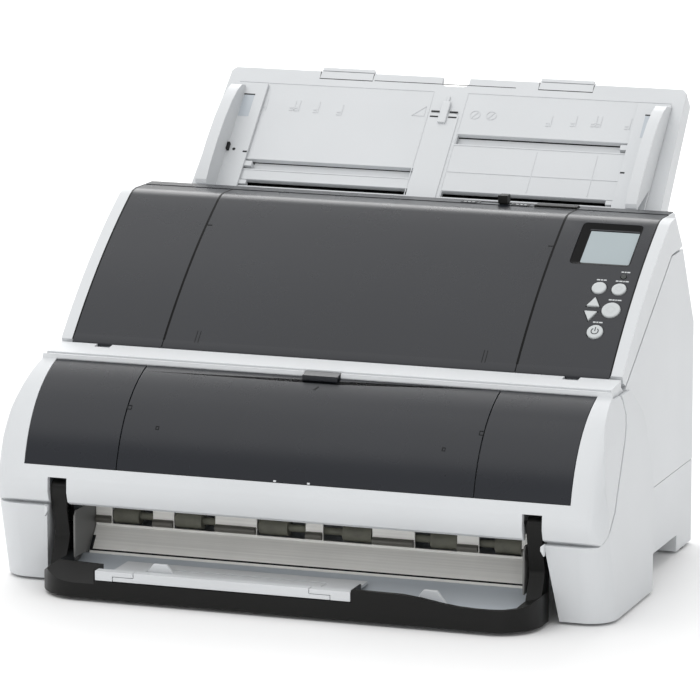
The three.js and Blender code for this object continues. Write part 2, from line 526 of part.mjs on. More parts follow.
/** Toothed bar from x0 to x1; the teeth point along way (+1 up the chute) at pitch line t. */
function rack(x0, x1, t, way) {
  const pitch = Math.PI * GEAR_MODULE;
  const [tip, root] = [t + way * TOOTH_TIP * GEAR_MODULE, t - way * TOOTH_ROOT * GEAR_MODULE];
  const pts = [[x1, root], [x1, root - way * 4], [x0, root - way * 4], [x0, root]];
  for (let k = Math.ceil(x0 / pitch); (k + 1) * pitch <= x1; k += 1) {
    const c = (k + 0.5) * pitch;
    pts.push([c - ROOT_HALF * pitch, root], [c - TIP_HALF * pitch, tip], [c + TIP_HALF * pitch, tip],
      [c + ROOT_HALF * pitch, root]);
  }
  return plan(pts, -7.6, -4.6);
}
const pinionRadius = PINION_TEETH * GEAR_MODULE / 2;
function sideGuide(side) {
  const flange = box(131, 154, -86, 12, 0.4, 2.6);
  const upright = extruded([
    [8, 0.4], [8, 5], [4, 10.4], [-4, 14.6], [-16, 18], [-32, 20.4], [-52, 21.4], [-72, 20.8], [-84, 19.4],
    [-86, 17.4], [-86, 0.4],
  ], 8).applyMatrix4(basis([0, 1, 0], [0, 0, 1], [1, 0, 0], [146, 0, 0]));
  const pocket = extruded([[-60, 2.6], [-84, 2.6], [-84, 15]], 8)
    .applyMatrix4(basis([0, 1, 0], [0, 0, 1], [1, 0, 0], [148.4, 0, 0]));
  const stubs = side > 0
    ? [box(126, 132.4, -26.8, -22.6, -7.6, 1), box(126, 132.4, -72.4, -69, -3.5, 1)]
    : [box(126, 132.4, -57.2, -53, -7.6, 1), box(126, 132.4, -72.4, -69, -3.5, 1)];
  const upper = cut(join(flange, upright, stubs), pocket);
  const bar = side > 0
    ? rack(-14, 132.4, PINION_T + pinionRadius, -1)
    : mirrored(rack(-14, 132.4, PINION_T - pinionRadius, 1));
  return join(side > 0 ? upper : mirrored(upper), bar).applyMatrix4(onChute);
}
const guidePinion = () => cut(
  plan(gearOutline(pinionRadius, PINION_TEETH, PINION_TEETH / 4).map(([a, b]) => [a, b + PINION_T]), -7.6, -4.6),
  plan(arc(0, PINION_T, 3, 0, 2 * Math.PI * 11 / 12, 11), -20, 5),
).applyMatrix4(onChute);

// ---------- assembly ----------
const group = new THREE.Group();
group.name = 'sheet_fed_document_scanner';
function add(name, geometry, material) {
  const g = geometry.clone();
  for (const key of ['normal', 'uv']) if (g.attributes[key]) g.deleteAttribute(key);
  const clean = mergeVertices(g, 1e-4);
  clean.computeVertexNormals();
  const mesh = new THREE.Mesh(clean, material);
  mesh.name = name;
  group.add(mesh);
}
const keys = buttonSolids(0, -3.4, 1.1);

add('base_chassis', baseChassis(), WHITE);
add('side_housing_right', sideHousing(), WHITE);
add('side_housing_left', mirrored(sideHousing()), WHITE);
add('foot_front_left', footPad(-187, -125), FOOT);
add('foot_front_right', footPad(187, -125), FOOT);
add('foot_rear_left', footPad(-182.2, 78), FOOT);
add('foot_rear_right', footPad(182.2, 78), FOOT);
add('exit_plate', exitPlate(), STEEL);
add('exit_roller', exitRoller(), RUBBER);
add('exit_pinion', exitPinion(), NYLON);
add('exit_motor', exitMotor(), MOTOR);
add('imprinter_shell', imprinterShell(), WHITE);
add('imprinter_panel_left', frontPanel(-PANEL_HALF, -SEAM_X + 0.3), DARK);
add('imprinter_panel_right', frontPanel(SEAM_X - 0.3, PANEL_HALF), DARK);
add('imprinter_door', imprinterDoor(), DARK);
add('imprinter_latch', imprinterLatch(), DARK);
add('print_carriage', printCarriage(), BLOCK);
add('carriage_rail', carriageRail(), MOTOR);
add('stacker_frame', stackerFrame(), BLACK);
add('stacker_tray', stackerTray(), TRAY);
add('stacker_side_tray', stackerSideTray(), TRAY);
add('stacker_extension', stackerExtension(), WHITE);
add('stacker_extension_inner', stackerExtensionInner(), WHITE);
add('stopper_left', stopper(-82, -174, 16.8), WHITE);
add('stopper_right', stopper(95, -167.2, 12.9), WHITE);
add('scanner_body', scannerBody(), WHITE);
add('rear_cover', rearCover(), WHITE);
add('feeder_frame', feederFrame(), WHITE);
add('feeder_panel_left', feederPanel(-PANEL_HALF, -SEAM_X - 0.3), DARK);
add('feeder_cover', feederPanel(-SEAM_X + 0.3, SEAM_X - 0.3), DARK);
add('operator_panel', operatorPanel(), DARK);
add('display_window', displayWindow(), GLASS);
add('status_lens', statusLens(), LENS);
for (const [name, solid] of Object.entries(keys)) add(name, solid, BUTTON);
add('feed_lever', feedLever(), BLACK);
add('release_tab', releaseTab(), BLACK);
add('upper_scan_unit', upperScanUnit(), BLOCK);
add('brake_roller', brakeRoller(), RUBBER);
add('pick_roller', pickRoller(), RUBBER);
add('feed_roller', feedRoller(), RUBBER);
add('eject_roller', ejectRoller(), RUBBER);
add('idler_gear', idlerGear(), NYLON);
add('motor_gear', motorGear(), NYLON);
add('drive_motor', driveMotor(), MOTOR);
add('lower_scan_unit', lowerScanUnit(), BLOCK);
add('main_board', mainBoard(), BOARD);
add('power_inlet', powerInlet(), BLOCK);
add('data_port', dataPort(), BLOCK);
add('chute_panel', chutePanel(), WHITE);
add('chute_back', chuteBack(), WHITE);
add('chute_extension', chuteExtension(), WHITE);
add('side_guide_left', sideGuide(-1), WHITE);
add('side_guide_right', sideGuide(1), WHITE);
add('guide_pinion', guidePinion(), NYLON);

export default group;
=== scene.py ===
# Sheet fed document scanner on a lower printing unit: looks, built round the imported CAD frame.
import json
import math

import bmesh
import bpy
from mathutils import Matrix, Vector


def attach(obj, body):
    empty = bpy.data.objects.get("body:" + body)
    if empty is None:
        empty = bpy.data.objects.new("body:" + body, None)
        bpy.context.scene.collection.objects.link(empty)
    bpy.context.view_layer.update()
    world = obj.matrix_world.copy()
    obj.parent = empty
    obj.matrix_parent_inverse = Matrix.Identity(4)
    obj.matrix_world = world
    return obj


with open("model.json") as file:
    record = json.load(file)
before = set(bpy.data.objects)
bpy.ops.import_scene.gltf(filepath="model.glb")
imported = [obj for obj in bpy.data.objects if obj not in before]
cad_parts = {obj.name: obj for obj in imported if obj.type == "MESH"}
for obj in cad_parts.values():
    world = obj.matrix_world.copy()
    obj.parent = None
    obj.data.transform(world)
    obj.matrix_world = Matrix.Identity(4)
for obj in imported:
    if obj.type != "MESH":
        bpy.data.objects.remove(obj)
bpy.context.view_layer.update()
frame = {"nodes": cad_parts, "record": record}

NODES = frame["nodes"]
MM = 0.001
SIDES = {"left": -1, "right": 1}

# ---------- camera: metres and radians ----------
CAMERA_PLACE = (1.10963, -3.23457, 0.82719)
CAMERA_YAW = 0.33484
CAMERA_PITCH = 0.19961
CAMERA_LENS = 275.67


def camera_at(location, yaw, pitch, lens):
    """Camera at location, turned yaw to the left and pitch down, with an upright horizon."""
    camera = bpy.data.objects.new("camera", bpy.data.cameras.new("camera"))
    bpy.context.scene.collection.objects.link(camera)
    camera.location = location
    camera.rotation_euler = (math.pi / 2 - pitch, 0.0, yaw)
    camera.data.lens = lens
    camera.data.sensor_width = 36.0
    camera.data.clip_start = 0.05
    camera.data.clip_end = 60.0
    camera.data.dof.use_dof = False
    bpy.context.scene.camera = camera


camera_at(CAMERA_PLACE, CAMERA_YAW, CAMERA_PITCH, CAMERA_LENS)


# ---------- materials ----------
class Shader:
    """A node material: add() makes a node, and link() joins an output to an input."""

    def __init__(self, name, **values):
        self.material = bpy.data.materials.new(name)
        self.material.use_nodes = True
        self.tree = self.material.node_tree
        self.surface = self.tree.nodes["Principled BSDF"]
        for key, value in values.items():
            self.surface.inputs[key.replace("_", " ")].default_value = value
        self.coord = self.add("ShaderNodeTexCoord").outputs["Object"]

    def add(self, kind, inputs=None, **settings):
        node = self.tree.nodes.new(kind)
        for key, value in settings.items():
            setattr(node, key, value)
        for key, value in (inputs or {}).items():
            if isinstance(value, bpy.types.NodeSocket):
                self.tree.links.new(value, node.inputs[key])
            else:
                node.inputs[key].default_value = value
        return node

    def link(self, output, key):
        self.tree.links.new(output, self.surface.inputs[key])

    def stretched(self, scale):
        return self.add("ShaderNodeMapping", {"Vector": self.coord, "Scale": scale}).outputs["Vector"]

    def noise(self, scale, detail=2.0, roughness=0.5, vector=None):
        inputs = {"Vector": vector or self.coord, "Scale": scale, "Detail": detail, "Roughness": roughness}
        return self.add("ShaderNodeTexNoise", inputs).outputs["Fac"]

    def ranged(self, value, low, high, start=0.3, end=0.7):
        """Maps value from start..end to low..high: noise seldom leaves 0.3 to 0.7."""
        inputs = {"Value": value, "From Min": start, "From Max": end, "To Min": low, "To Max": high}
        return self.add("ShaderNodeMapRange", inputs).outputs["Result"]

    def blended(self, factor, a, b):
        """Mixes two colours, each an output or three numbers."""
        node = self.add("ShaderNodeMix", data_type="RGBA")
        self.tree.links.new(factor, node.inputs["Factor"])
        for key, value in (("A", a), ("B", b)):
            socket = next(s for s in node.inputs if s.name == key and s.type == "RGBA")
            if isinstance(value, bpy.types.NodeSocket):
                self.tree.links.new(value, socket)
            else:
                socket.default_value = (*value, 1.0)
        return next(s for s in node.outputs if s.type == "RGBA")

    def bump(self, height, distance):
        return self.add("ShaderNodeBump", {"Height": height, "Distance": distance}).outputs["Normal"]


def shaded(color, factor):
    return tuple(c * factor for c in color)


def plastic(name, color, rough, grain=1500.0, depth=0.02, drift=0.03, **values):
    """Moulded plastic: spark-eroded grain of depth mm, slow colour drift and uneven gloss."""
    s = Shader(name, **values)
    slow = s.ranged(s.noise(9.0, 3.0), 0.0, 1.0)
    s.link(s.blended(slow, shaded(color, 1 - drift), shaded(color, 1 + drift)), "Base Color")
    s.link(s.ranged(s.noise(40.0, 3.0), rough - 0.015, rough + 0.015), "Roughness")
    fine = s.noise(grain, 3.0, 0.6)
    cells = s.add("ShaderNodeTexVoronoi", {"Vector": s.coord, "Scale": grain * 0.7}).outputs["Distance"]
    height = s.add("ShaderNodeMath", {0: fine, 1: cells}, operation="ADD").outputs[0]
    s.link(s.bump(height, depth * MM), "Normal")
    return s.material


def brushed(name, color, rough, scale, metallic=1.0):
    """Metal with fine lines along one axis, where scale is small, and soft smears."""
    s = Shader(name, Metallic=metallic)
    lines = s.noise(1.0, 4.0, 0.6, s.stretched(scale))
    smear = s.noise(14.0, 3.0, 0.5, s.stretched((1.6, 1.0, 0.25)))
    tone = s.blended(s.ranged(lines, 0.0, 1.0), shaded(color, 0.90), shaded(color, 1.06))
    s.link(s.blended(s.ranged(smear, 0.0, 0.35), tone, shaded(color, 0.72)), "Base Color")
    s.link(s.ranged(smear, rough - 0.05, rough + 0.09), "Roughness")
    s.link(s.bump(lines, 0.01 * MM), "Normal")
    return s.material


def rubber(name, color):
    """Matt rubber: worn in patches, with a coarse grain."""
    s = Shader(name)
    wear = s.noise(90.0, 4.0, 0.6)
    s.link(s.blended(s.ranged(wear, 0.0, 1.0), shaded(color, 0.78), shaded(color, 1.25)), "Base Color")
    s.link(s.ranged(wear, 0.58, 0.82), "Roughness")
    s.link(s.bump(s.noise(1800.0, 3.0, 0.7), 0.05 * MM), "Normal")
    return s.material


WHITE = plastic("shell_white", (0.62, 0.637, 0.652), 0.46)
DARK = plastic("panel_charcoal", (0.0085, 0.0103, 0.0148), 0.28, grain=1900.0, depth=0.007, drift=0.05,
               Specular_IOR_Level=0.39)
BLACK = plastic("stacker_black", (0.0065, 0.0065, 0.0062), 0.36, drift=0.08, Specular_IOR_Level=0.2)
TRAY = plastic("tray_grey", (0.48, 0.52, 0.56), 0.36, drift=0.04)
BUTTON = plastic("button_grey", (0.52, 0.545, 0.55), 0.24, depth=0.006, drift=0.02)
INNER = plastic("inner_black", (0.010, 0.011, 0.012), 0.6, drift=0.1, Specular_IOR_Level=0.25)
# Near-black for the seams between the panels, and painted shade: the display recess and the sheet that
# darkens the chute's slots.
SEAM_AND_PAINTED_SHADE_BLACK = plastic("seam_and_painted_shade_black", (0.0035, 0.0036, 0.0038), 0.5, drift=0.1, Specular_IOR_Level=0.1)
WALL = plastic("wall_grey", (0.17, 0.17, 0.165), 0.5, drift=0.06)
NYLON = plastic("gear_nylon", (0.70, 0.67, 0.57), 0.42, drift=0.04)
BOARD = plastic("board_green", (0.012, 0.105, 0.042), 0.34, grain=700.0, drift=0.12)
LENS = plastic("status_lens", (0.012, 0.016, 0.014), 0.16, depth=0.004)
GLASS = plastic("scan_glass", (0.345, 0.40, 0.42), 0.20, depth=0.003, drift=0.04)
STEEL = brushed("plate_steel", (0.95, 0.94, 0.90), 0.34, (6.0, 900.0, 900.0), metallic=0.12)
MOTOR = brushed("motor_steel", (0.46, 0.47, 0.48), 0.34, (500.0, 20.0, 20.0))
LABEL = plastic("label_print", (0.55, 0.57, 0.58), 0.5, depth=0.004)
ICON = plastic("icon_print", (0.42, 0.43, 0.44), 0.4, depth=0.004)
MARK = plastic("mark_emboss", (0.60, 0.615, 0.63), 0.5, depth=0.01)
RUBBER = rubber("roller_rubber", (0.15, 0.15, 0.12))
FOOT = rubber("foot_rubber", (0.022, 0.022, 0.023))
# Dark steel for the exit's tie bar: partly the bar's own tone, partly painted shade for the dark strip
# between the plate's windows.
BAR_STEEL = brushed("bar_steel", (0.13, 0.125, 0.11), 0.38, (6.0, 700.0, 700.0), metallic=0.2)


def slot_name(material):
    return material.name.split(".")[0]


# The record's slots with their materials.
FINISH = {slot_name(m): m for m in (WHITE, DARK, BLACK, TRAY, BUTTON, INNER, NYLON, BOARD, LENS, GLASS,
                                    STEEL, MOTOR, RUBBER, FOOT)}


# ---------- carried-over CAD nodes ----------
def crease_group(angle):
    """Geometry nodes that shade smooth, but keep edges sharper than angle."""
    group = bpy.data.node_groups.new("keep_creases", "GeometryNodeTree")
    group.interface.new_socket("Geometry", in_out="INPUT", socket_type="NodeSocketGeometry")
    group.interface.new_socket("Geometry", in_out="OUTPUT", socket_type="NodeSocketGeometry")
    add = group.nodes.new
    start, end = add("NodeGroupInput"), add("NodeGroupOutput")
    edge, limit = add("GeometryNodeInputMeshEdgeAngle"), add("FunctionNodeCompare")
    faces, edges = add("GeometryNodeSetShadeSmooth"), add("GeometryNodeSetShadeSmooth")
    limit.operation = "LESS_EQUAL"
    limit.inputs["B"].default_value = angle
    edges.domain = "EDGE"
    link = group.links.new
    link(start.outputs[0], faces.inputs["Geometry"])
    link(faces.outputs[0], edges.inputs["Geometry"])
    link(edge.outputs["Unsigned Angle"], limit.inputs["A"])
    link(limit.outputs[0], edges.inputs["Shade Smooth"])
    link(edges.outputs[0], end.inputs[0])
    return group


CREASES = crease_group(math.radians(32))
SAME_PLACE = 2e-6                                       # metres: vertices closer than this are one
SAME_PLANE = math.radians(0.4)
HARD_EDGE = math.radians(28)


def rounded(obj, width, segments=2, weld=True):
    """Rounds an object's hard edges by width mm and shades the rest smoothly."""
    if weld:
        obj.modifiers.new("weld", "WELD").merge_threshold = SAME_PLACE
        flat_faces = obj.modifiers.new("flat", "DECIMATE")
        flat_faces.decimate_type = "DISSOLVE"
        flat_faces.angle_limit = SAME_PLANE
    if width:
        bevel = obj.modifiers.new("bevel", "BEVEL")
        bevel.width = width * MM
        bevel.segments = segments
        bevel.limit_method = "ANGLE"
        bevel.angle_limit = HARD_EDGE
        bevel.use_clamp_overlap = True
    obj.modifiers.new("creases", "NODES").node_group = CREASES
    obj.modifiers.new("normals", "WEIGHTED_NORMAL").keep_sharp = True


EDGE_ROUND = 0.3
ROUND = {"imprinter_shell": 0.6, "side_housing_left": 0.8, "side_housing_right": 0.8, "stacker_frame": 1.4,
         "scanner_body": 0.5, "feeder_frame": 0.5, "base_chassis": 0.5, "side_guide_left": 0.8,
         "side_guide_right": 0.8, "chute_panel": 0.6, "menu_button": 0.9, "stop_button": 0.9,
         "scan_button": 0.9, "power_button": 0.9, "up_button": 0.6, "down_button": 0.6, "feed_lever": 0.8,
         "release_tab": 0.8, "stacker_extension": 0.4, "stacker_extension_inner": 0.4, "stopper_left": 0.6,
         "stopper_right": 0.6}
BUTTON_SEGMENTS = 4
for part in frame["record"]["subparts"]:
    node = NODES[part["node"]]
    if "custom_normal" in node.data.attributes:
        node.data.attributes.remove(node.data.attributes["custom_normal"])
    for material_slot in node.material_slots:
        material_slot.material = FINISH[part["material_slot"]]
    segments = BUTTON_SEGMENTS if part["node"].endswith("button") else 2
    rounded(node, ROUND.get(part["node"], EDGE_ROUND), segments)


# ---------- places on the object: every length from here to the studio is in mm ----------
CHUTE_POINT = (155.3, 271.0)
CHUTE_LEAN = 0.761
CHUTE_UP = (math.cos(CHUTE_LEAN), math.sin(CHUTE_LEAN))
PANEL_FOOT, PANEL_TOP, PANEL_BULGE = (-71.0, 144.3), (33.0, 222.5), 4.5
FRONT_FOOT, FRONT_TOP, FRONT_BULGE = (-154.8, 79.6), (-99.0, 136.6), 10.8


def on_chute(x, t, n):
    """t up the chute's face and n out of it."""
    y = CHUTE_POINT[0] + CHUTE_UP[0] * t - CHUTE_UP[1] * n
    z = CHUTE_POINT[1] + CHUTE_UP[1] * t + CHUTE_UP[0] * n
    return (x, y, z)


def on_bulge(foot, top, bulge):
    """Place function for a panel that bulges between foot and top: s from the foot, n out of the surface."""
    dy, dz = top[0] - foot[0], top[1] - foot[1]
    length = math.hypot(dy, dz)
    ey, ez = dy / length, dz / length

    def place(x, s, n):
        t = s / length
        rise, slope = 4 * bulge * t * (1 - t), 4 * bulge * (1 - 2 * t) / length
        uy, uz = ey - ez * slope, ez + ey * slope
        size = math.hypot(uy, uz)
        y = foot[0] + ey * s - ez * rise - uz / size * n
        z = foot[1] + ez * s + ey * rise + uy / size * n
        return (x, y, z)

    return place


on_panel = on_bulge(PANEL_FOOT, PANEL_TOP, PANEL_BULGE)
on_front = on_bulge(FRONT_FOOT, FRONT_TOP, FRONT_BULGE)


def across(y, z, x):
    """(y, z) outlines, extruded along X."""
    return (x, y, z)


def flat(x, y, z):
    """(x, y) outlines, extruded along Z."""
    return (x, y, z)


def upright(x, z, y):
    """(x, z) outlines, extruded along Y."""
    return (x, y, z)


# ---------- outlines ----------
def rect(u0, u1, v0, v1):
    return [(u0, v0), (u1, v0), (u1, v1), (u0, v1)]


def about(middle, half):
    """The span that reaches half to each side of middle."""
    return (middle - half, middle + half)


def mirrored(side, a, b):
    """The span between a and b on the right, or its mirror image on the left."""
    return sorted((side * a, side * b))


def arc(u, v, r, start, turn, count):
    """count points on an arc, both ends included."""
    angles = [start + turn * i / (count - 1) for i in range(count)]
    return [(u + r * math.cos(a), v + r * math.sin(a)) for a in angles]


def circle(u, v, r, count):
    return arc(u, v, r, 0.0, 2 * math.pi, count + 1)[:-1]


def round_rect(u0, u1, v0, v1, r, steps=5):
    """A rectangle with corner arcs of radius r, counterclockwise from the right-hand top corner."""
    centres = ((u1 - r, v1 - r), (u0 + r, v1 - r), (u0 + r, v0 + r), (u1 - r, v0 + r))
    corners = [arc(u, v, r, math.pi / 2 * k, math.pi / 2, steps) for k, (u, v) in enumerate(centres)]
    return [point for corner in corners for point in corner]


class Build:
    """Collects closed shapes into one mesh.

    A place function turns (u, v, w) into a point on the object: an outline or path lies in u and v, and
    the shape reaches from low to high along w.
    """

    def __init__(self):
        self.b = bmesh.new()

    def row(self, points):
        return [self.b.verts.new(Vector(point) * MM) for point in points]

    def wrap(self, a, c):
        """Joins two closed rows of vertices with a belt of faces."""
        for i in range(len(a)):
            j = (i + 1) % len(a)
            self.b.faces.new((a[i], a[j], c[j], c[i]))

    def prism(self, outline, place, low, high):
        """A solid outline."""
        rows = [self.row(place(u, v, w) for u, v in outline) for w in (low, high)]
        for row in rows:
            self.b.faces.new(row)
        self.wrap(*rows)
        return self

    def band(self, path, width, place, low, high, closed=False):
        """A strip of constant width that follows a path of points."""
        count = len(path)
        rows = []
        for i, (u, v) in enumerate(path):
            a = path[(i - 1) % count] if closed or i else path[0]
            c = path[(i + 1) % count] if closed or i < count - 1 else path[-1]
            du, dv = c[0] - a[0], c[1] - a[1]
            size = math.hypot(du, dv)
            left, right = [(u - dv / size * width * s, v + du / size * width * s) for s in (0.5, -0.5)]
            corners = ((left, low), (right, low), (right, high), (left, high))
            rows.append(self.row(place(*edge, w) for edge, w in corners))
        for i in range(count if closed else count - 1):
            self.wrap(rows[i], rows[(i + 1) % count])
        if not closed:
            self.b.faces.new(rows[0])
            self.b.faces.new(rows[-1])
        return self

    def ring(self, loops):
        """A closed ring through loops with the same number of points, already in place."""
        rows = [self.row(loop) for loop in loops]
        for k, row in enumerate(rows):
            self.wrap(row, rows[(k + 1) % len(rows)])
        return self

    def done(self, name, body, material, bevel=0.0, segments=2):
        """Ends the mesh as a piece that rides on body, with its edges rounded by bevel mm."""
        bmesh.ops.recalc_face_normals(self.b, faces=self.b.faces[:])
        mesh = bpy.data.meshes.new(name)
        self.b.to_mesh(mesh)
        self.b.free()
        obj = bpy.data.objects.new(name, mesh)
        bpy.context.scene.collection.objects.link(obj)
        mesh.materials.append(material)
        rounded(obj, bevel, segments, weld=False)
        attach(obj, body)


# ---------- feeder: foot lips, seams, deck trim, wells, ticks ----------
PANEL_HALF = 181.4                                      # half the width of the three dark panels together
SEAM_X, SEAM_HALF, SEAM_DEPTH = 119.5, 0.3, 0.32        # the seams between them
SLOPE_LENGTH, SLOPE_STEPS = 130.0, 16
CREST = ((38.0, 224.6), (44.0, 225.4), (60.0, 225.0))
FOOT_LIP = [(-66.6, 148.4), (-69.4, 146.1), (-71.4, 144.2), (-72.4, 142.7), (-72.7, 141.2), (-71.9, 141.2),
            (-71.4, 142.6), (-70.4, 143.9), (-68.6, 145.5), (-66.2, 147.5)]
DECK_Y, DECK_Z = (60.2, 71.6), (224.7, 225.35)          # the dark strip on the deck
LEVER_X, LEVER_Y = (52, 73), (61.9, 68.1)               # its opening for the feed lever
TAB_X, TAB_BACK = (89.4, 119.6), 69.6                   # its notch for the release tab
WELL_Y, WELL_Z = (61.2, 66.6), (225.2, 225.5)
GLYPH_Y, GLYPH_Z = (63.0, 64.6), (225.4, 225.6)
GLYPH_WIDTH, GLYPH_STEP = 1.8, 2.8
LEVER_FLOOR_Z = (215.0, 216.2)
TICK_HALF, TICK_S = 0.22, (3.5, 13.0)
DASH_X, DASH_HALF, DASH_S = 117.0, 1.6, (104.0, 104.9)


def foot_lips():
    """The dark lip that each panel turns under its foot."""
    spans = {"left": (-PANEL_HALF, -SEAM_X - SEAM_HALF), "middle": (-SEAM_X + SEAM_HALF, SEAM_X - SEAM_HALF),
             "right": (SEAM_X + SEAM_HALF, PANEL_HALF)}
    for tag, span in spans.items():
        Build().prism(FOOT_LIP, across, *span).done("feeder_foot_lip_" + tag, "feeder", DARK, bevel=0.12)


def panel_seams():
    """Dark lines between and beside the panels, up the slope and over the crest."""
    slope = [on_panel(0, SLOPE_LENGTH * i / SLOPE_STEPS, -SEAM_DEPTH)[1:] for i in range(SLOPE_STEPS + 1)]
    path = slope + [(y, z - SEAM_DEPTH) for y, z in CREST]
    seams = Build()
    for side in SIDES.values():
        for x, half in ((SEAM_X, 0.75), (PANEL_HALF + 0.35, 0.45)):
            seams.band(path, 0.7, across, *about(side * x, half))
    seams.done("feeder_seams", "feeder", SEAM_AND_PAINTED_SHADE_BLACK)


def deck_trim():
    """The dark strip on the deck, with an opening for the lever and a notch for the release tab."""
    front, back = DECK_Y
    trim = Build()
    for x_span, y_span in (((-PANEL_HALF, LEVER_X[0]), DECK_Y), (LEVER_X, (front, LEVER_Y[0])),
                           (LEVER_X, (LEVER_Y[1], back)), ((LEVER_X[1], TAB_X[0]), DECK_Y),
                           (TAB_X, (TAB_BACK, back)), ((TAB_X[1], PANEL_HALF), DECK_Y)):
        trim.prism(rect(*x_span, *y_span), flat, *DECK_Z)
    trim.done("feeder_deck_trim", "feeder", DARK)


def deck_wells():
    """A dark well with three small squares on each side of the lever, and the floor under the lever."""
    wells, glyphs = Build(), Build()
    for x0, x1, first in ((39.5, 50.5, 41.2), (74.5, 86.5, 77.0)):
        wells.prism(rect(x0, x1, *WELL_Y), flat, *WELL_Z)
        for i in range(3):
            x = first + GLYPH_STEP * i
            glyphs.prism(rect(x, x + GLYPH_WIDTH, *GLYPH_Y), flat, *GLYPH_Z)
    wells.prism(rect(52.2, 72.8, 62.2, 67.8), flat, *LEVER_FLOOR_Z)
    wells.done("feeder_deck_wells", "feeder", INNER)
    glyphs.done("feeder_deck_glyphs", "feeder", LABEL)


def panel_ticks():
    """A pair of ticks near the panels' foot and a dash beside the seam, on either side."""
    ticks = Build()
    for side in SIDES.values():
        for x in (96.0, 98.2):
            ticks.prism(rect(*about(side * x, TICK_HALF), *TICK_S), on_panel, -0.3, 0.12)
        ticks.prism(rect(*about(side * DASH_X, DASH_HALF), *DASH_S), on_panel, -0.3, 0.15)
    ticks.done("feeder_panel_ticks", "feeder", INNER)


foot_lips()
panel_seams()
deck_trim()
deck_wells()
panel_ticks()

# ---------- operator panel: x across and s up the slope ----------
# Each label's middle and the widths of its bars.
LABELS = ((172.4, 84.6, (1.6, 1.2, 2.0)), (158.4, 76.6, (2.2, 1.4, 2.0)),
          (172.0, 76.4, (1.8, 2.2, 1.0, 2.2)), (171.2, 60.0, (2.0, 1.4, 1.0, 2.6)),
          (164.3, 40.8, (1.8, 1.2, 2.4)))
BAR_HALF, BAR_GAP = 0.5, 0.45
DISPLAY_RECESS = (133.3, 173.1, 89.9, 129.3)
DISPLAY_SCREEN = (139.4, 171.9, 92.6, 123.4)
BUTTON_FACE = 1.0                                       # height of a button's face over the panel
POWER_X, POWER_S, POWER_R = 164.3, 32.9, 2.3
POWER_LINE = 0.62


def label_bars():
    """Rows of short bars in place of words."""
    labels = Build()
    for x, s, widths in LABELS:
        at = x - (sum(widths) + BAR_GAP * (len(widths) - 1)) / 2
        for width in widths:
            labels.prism(rect(at, at + width, *about(s, BAR_HALF)), on_panel, -0.1, 0.06)
            at += width + BAR_GAP
    labels.done("operator_labels", "feeder", LABEL)


def display_bezel():
    """A shallow slope from the recess down to the screen, closed underneath, in near-black: painted shade
    where the real recess is the panel's charcoal in shadow.
    """
    recess, screen = round_rect(*DISPLAY_RECESS, 3.0), round_rect(*DISPLAY_SCREEN, 0.9)
    loops = [[on_panel(x, s, n) for x, s in outline]
             for outline, n in ((recess, -0.06), (screen, -1.55), (screen, -1.74), (recess, -1.46))]
    # The near-black colour here is painted shade for the shadowed recess walls and floor.
    Build().ring(loops).done("display_bezel", "feeder", SEAM_AND_PAINTED_SHADE_BLACK)


def power_symbol():
    """An open ring with a bar at its gap, on the power button."""
    symbol = Build()
    open_ring = arc(POWER_X, POWER_S, POWER_R, math.radians(125), math.radians(290), 20)
    symbol.band(open_ring, POWER_LINE, on_panel, BUTTON_FACE, 1.18)
    bar = rect(*about(POWER_X, POWER_LINE / 2), POWER_S, POWER_S + 3.2)
    symbol.prism(bar, on_panel, BUTTON_FACE, 1.18)
    symbol.done("power_symbol", "power_button", DARK)


def button_icon(name, x, s, size):
    """A turned square in thin lines on a button."""
    turn = size * 0.2
    corners = [(x - turn, s + size), (x + size, s + turn), (x + turn, s - size), (x - size, s - turn)]
    icon = Build().band(corners, 0.34, on_panel, BUTTON_FACE, 1.14, closed=True)
    icon.done(name + "_icon", name + "_button", ICON)


label_bars()
display_bezel()
power_symbol()
button_icon("stop", 171.6, 69.1, 2.3)
button_icon("scan", 170.6, 51.2, 2.9)

# ---------- lower unit's front: x across and s up the slope ----------
FRONT_FRAMES = ((117.4, 39.2, 42.0, 1.3), (95.4, 26.4, 28.4, 0.9))
LATCH_POINTER = [(-1.4, 66.4), (0.2, 66.2), (1.6, 69.6), (0.8, 69.9)]


def front_marks():
    """Two small frames on either side of the door, and a pointer at the latch."""
    marks = Build()
    for side in SIDES.values():
        for x, s0, s1, half in FRONT_FRAMES:
            outline = rect(*about(side * x, half), s0, s1)
            marks.band(outline, 0.5, on_front, -0.2, 0.3, closed=True)
    marks.done("front_panel_marks", "imprinter_door", INNER)
    Build().prism(LATCH_POINTER, on_front, -0.2, 0.12).done("latch_mark", "imprinter_door", INNER)


def front_clips():
    """Two small white clips at the foot of the door."""
    clips = Build()
    for x in (-12.0, 10.5):
        clips.prism(rect(*about(x, 0.9), 0.1, 1.1), on_front, -0.1, 0.35)
    clips.done("front_panel_clips", "imprinter_door", WHITE, bevel=0.1)


front_marks()
front_clips()

# ---------- chute: x across and t up its face ----------
FRAME_T = 14.4                                          # the line under the chute's top edge
RIB_X = (-13.2, 11.0)                                   # the edges of the middle rib
FIELD_X = 134.6                                         # the outer lines of the two slotted fields
# Each slot in the chute's face as x0, x1, t0, t1.
SLOTS = ((-133, -12, -73.2, -68.3), (-133, -12, -59.0, -51.2), (12, 133, -73.2, -68.3),
         (12, 133, -28.8, -20.8))
RIM_OUT, RIM_WIDTH = 0.7, 0.9
SIZE_MARKS = ((74.0, -1.0), (91.0, 0.0), (105.0, 0.6), (108.2, 0.6), (128.5, 0.0))
TAB_GAP = ((96.8, 26.4), (96.8, 20.4), (58.8, 20.4), (58.8, 26.4))
CIRCLE_T, CIRCLE_R = -3.6, 3.4


